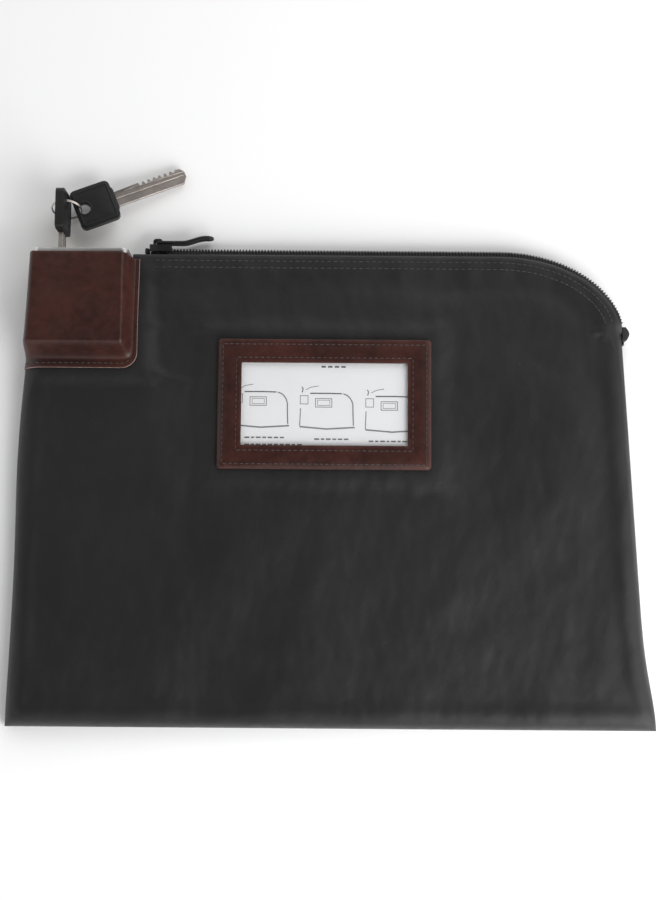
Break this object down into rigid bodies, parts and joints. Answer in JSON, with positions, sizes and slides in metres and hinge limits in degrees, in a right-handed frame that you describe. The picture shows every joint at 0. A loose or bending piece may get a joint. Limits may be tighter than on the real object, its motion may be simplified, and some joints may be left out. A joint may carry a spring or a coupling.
{
  "type": "locking cash deposit bag",
  "caption": "Flat fabric deposit pouch with a zip round its top edge, a pop-up cylinder lock with keys in one corner, and a stitched label pocket.",
  "frame": {"origin": "middle of the back panel, on the surface that the bag lies on", "axes": "+X along the zip edge, away from the lock; +Y from the bottom seam to the zip edge; +Z out of the front panel"},
  "size_m": [0.288, 0.2568, 0.0231],
  "materials": {
    "nylon": "coated black nylon oxford cloth",
    "tape": "woven black zip tape",
    "coil": "black nylon zip teeth",
    "leatherette": "glossy dark brown leatherette with stitched edges",
    "steel": "plated pressed steel",
    "brass": "machined brass",
    "nickel": "nickel plated key",
    "black_plastic": "moulded black plastic",
    "black_metal": "black lacquered zinc",
    "clear_vinyl": "clear vinyl sheet",
    "paper": null
  },
  "bodies": {
    "bag": {"back_panel": "nylon", "front_panel": "nylon", "zip_tape_front": "tape", "zip_tape_back": "tape", "zip_teeth_front": "coil", "zip_teeth_back": "coil", "zip_start_stop": "black_metal", "zip_end_tab": "tape", "lock_cover_front": "leatherette", "lock_cover_back": "leatherette", "lock_case": "steel", "cam_keeper": "steel", "catch_pin": "steel", "pop_spring": "steel", "label_frame": "leatherette", "label_window": "clear_vinyl"},
    "lock_head": {"pop_up_cap": "steel", "cylinder_housing": "brass", "chamber_cover": "brass", "driver_pin_1": "brass", "driver_pin_2": "brass", "driver_pin_3": "brass", "driver_pin_4": "brass", "driver_pin_5": "brass", "driver_pin_6": "brass", "driver_pin_7": "brass", "driver_spring_1": "steel", "driver_spring_2": "steel", "driver_spring_3": "steel", "driver_spring_4": "steel", "driver_spring_5": "steel", "driver_spring_6": "steel", "driver_spring_7": "steel"},
    "lock_plug": {"cylinder_plug": "brass", "plug_cam": "steel", "cam_screw": "steel", "key_pin_1": "brass", "key_pin_2": "brass", "key_pin_3": "brass", "key_pin_4": "brass", "key_pin_5": "brass", "key_pin_6": "brass", "key_pin_7": "brass"},
    "lock_key": {"key_blade": "nickel", "key_bow": "black_plastic"},
    "ring": {"key_ring": "nickel"},
    "spare_key": {"spare_key_blade": "nickel", "spare_key_bow": "black_plastic"},
    "slider": {"zip_slider": "black_metal"},
    "pull": {"zip_pull": "black_plastic"},
    "card": {"label_card": "paper"}
  },
  "joints": [
    {"name": "cap_pop", "type": "slide", "parent": "bag", "child": "lock_head", "axis": [0, 1, 0], "range_m": [0, 0.0032]},
    {"name": "key_turn", "type": "hinge", "parent": "lock_head", "child": "lock_plug", "pos_m": [-0.1226, 0.1, 0.0116], "axis": [0, -1, 0], "range_deg": [0, 90]},
    {"name": "key_pull", "type": "slide", "parent": "lock_plug", "child": "lock_key", "axis": [0, 1, 0], "range_m": [0, 0.034]},
    {"name": "ring_swing", "type": "hinge", "parent": "lock_key", "child": "ring", "pos_m": [-0.1226, 0.12935, 0.01348], "axis": [1, 0, 0], "range_deg": [0, 30]},
    {"name": "spare_swing", "type": "hinge", "parent": "ring", "child": "spare_key", "pos_m": [-0.115, 0.12702, 0.00709], "axis": [0, 0, 1], "range_deg": [-12, 0]},
    {"name": "zip_slide", "type": "slide", "parent": "bag", "child": "slider", "axis": [1, 0, 0], "range_m": [0, 0.145]},
    {"name": "pull_flip", "type": "hinge", "parent": "slider", "child": "pull", "pos_m": [-0.0797, 0.1121, 0.004], "axis": [0, 0, 1], "range_deg": [0, 45]},
    {"name": "card_slide", "type": "slide", "parent": "bag", "child": "card", "axis": [0, 1, 0], "range_m": [0, 0.05]}
  ]
}
